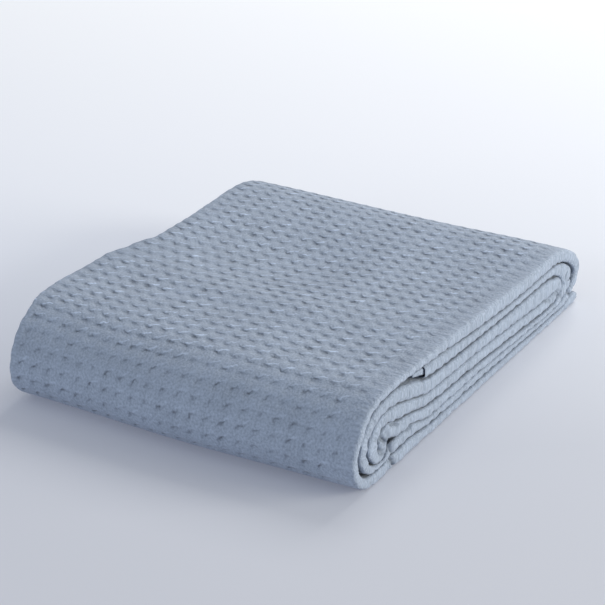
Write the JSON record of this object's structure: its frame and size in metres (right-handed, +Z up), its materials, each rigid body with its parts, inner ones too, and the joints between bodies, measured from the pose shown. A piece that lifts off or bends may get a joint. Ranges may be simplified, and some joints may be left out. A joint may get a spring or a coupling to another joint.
{
  "type": "folded waffle weave cotton blanket",
  "caption": "Waffle weave cotton blanket, folded flat back and forth into a low rectangular stack with rounded lips along one side and a hem tucked under the top pass.",
  "frame": {"origin": "centre of the stack's underside, on the surface it rests on", "axes": "+X towards the side whose rounded lips stand in an even row, +Y along the passes from the near turns to the far turns, +Z up"},
  "size_m": [0.285, 0.3719, 0.0663],
  "materials": {
    "waffle_cotton": "matt grey-blue waffle weave cotton, soft raised ridges around square recessed cells, slightly fuzzy"
  },
  "bodies": {
    "root": {"blanket": "waffle_cotton"}
  },
  "joints": []
}
